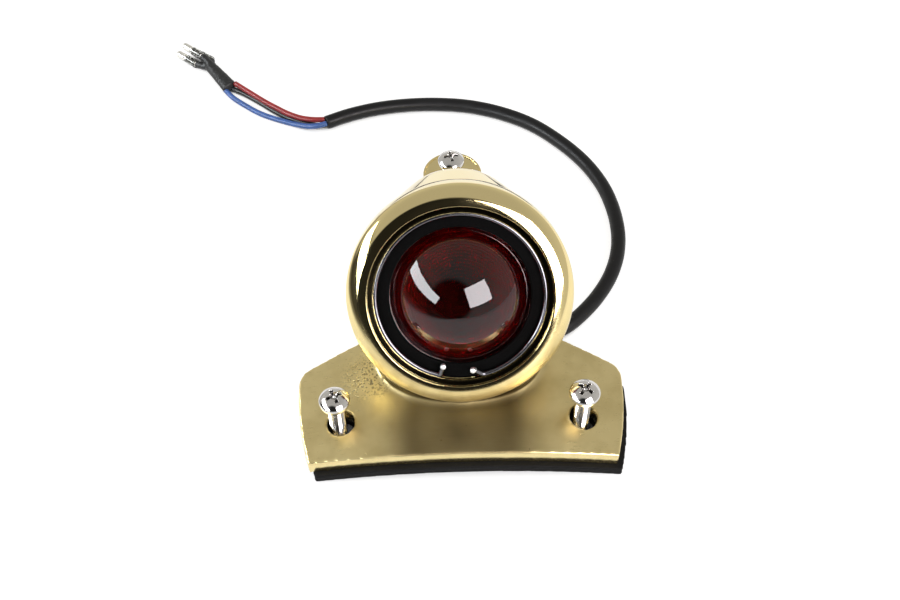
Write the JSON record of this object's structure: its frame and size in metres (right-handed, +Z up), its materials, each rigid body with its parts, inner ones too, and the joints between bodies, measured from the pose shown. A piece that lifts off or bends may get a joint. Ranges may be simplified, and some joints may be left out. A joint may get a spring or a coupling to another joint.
{
  "type": "led tail lamp",
  "caption": "Cast brass tail lamp with a tilted round red bullseye lens, a teardrop shell, a curved base on a rubber pad, loose mounting screws and a cable that ends in round terminals.",
  "frame": {"origin": "middle of the underside of the lamp's box, without the cable, on the surface that it stands on", "axes": "+Z up, the lens faces -Y and up, +X to the right of someone who looks at the lens"},
  "size_m": [0.1756, 0.2077, 0.0733],
  "materials": {
    "brass": "polished rim and shell, brushed base with casting pits",
    "red_lens": "glossy deep red, pressed rings",
    "rubber": "smooth black",
    "pad_rubber": "matte black with cut edges",
    "spring_steel": "dark spring wire, bright cut ends",
    "screw_steel": "bright plated steel",
    "black_plastic": "moulded",
    "circuit_board": "green solder mask",
    "red_led": "clear red resin",
    "small_parts": "moulded black",
    "solder": "bright solder",
    "cable_black": "soft sheath with a slight sheen",
    "red_insulation": "satin",
    "black_insulation": "satin",
    "blue_insulation": "satin",
    "wrap_black": "shrunk sleeve",
    "terminal_brass": "bright stamped brass",
    "clear_sleeve": "clear soft tube"
  },
  "bodies": {
    "lamp": {"housing": "brass", "lens": "red_lens", "lens_gasket": "rubber", "snap_ring": "spring_steel", "spacer_ring": "black_plastic", "led_board": "circuit_board", "tail_leds": "red_led", "brake_leds": "red_led", "resistors": "small_parts", "diodes": "small_parts", "solder_joints": "solder", "base_gasket": "pad_rubber", "red_lead": "red_insulation", "black_lead": "black_insulation", "blue_lead": "blue_insulation", "cable_sheath": "cable_black", "red_wire": "red_insulation", "black_wire": "black_insulation", "blue_wire": "blue_insulation", "heat_shrink": "wrap_black", "red_bullet": "terminal_brass", "black_bullet": "terminal_brass", "blue_bullet": "terminal_brass", "red_sleeve": "clear_sleeve", "black_sleeve": "clear_sleeve", "blue_sleeve": "clear_sleeve"},
    "left_screw": {"front_left_screw": "screw_steel"},
    "right_screw": {"front_right_screw": "screw_steel"},
    "tail_screw": {"rear_screw": "screw_steel"}
  },
  "joints": [
    {"name": "left_screw_slide", "type": "slide", "parent": "lamp", "child": "left_screw", "axis": [0, 0, 1], "range_m": [-0.0092, 0.025]},
    {"name": "right_screw_slide", "type": "slide", "parent": "lamp", "child": "right_screw", "axis": [0, 0, 1], "range_m": [-0.0092, 0.025]},
    {"name": "tail_screw_slide", "type": "slide", "parent": "lamp", "child": "tail_screw", "axis": [0, 0, 1], "range_m": [-0.0079, 0.025]}
  ]
}
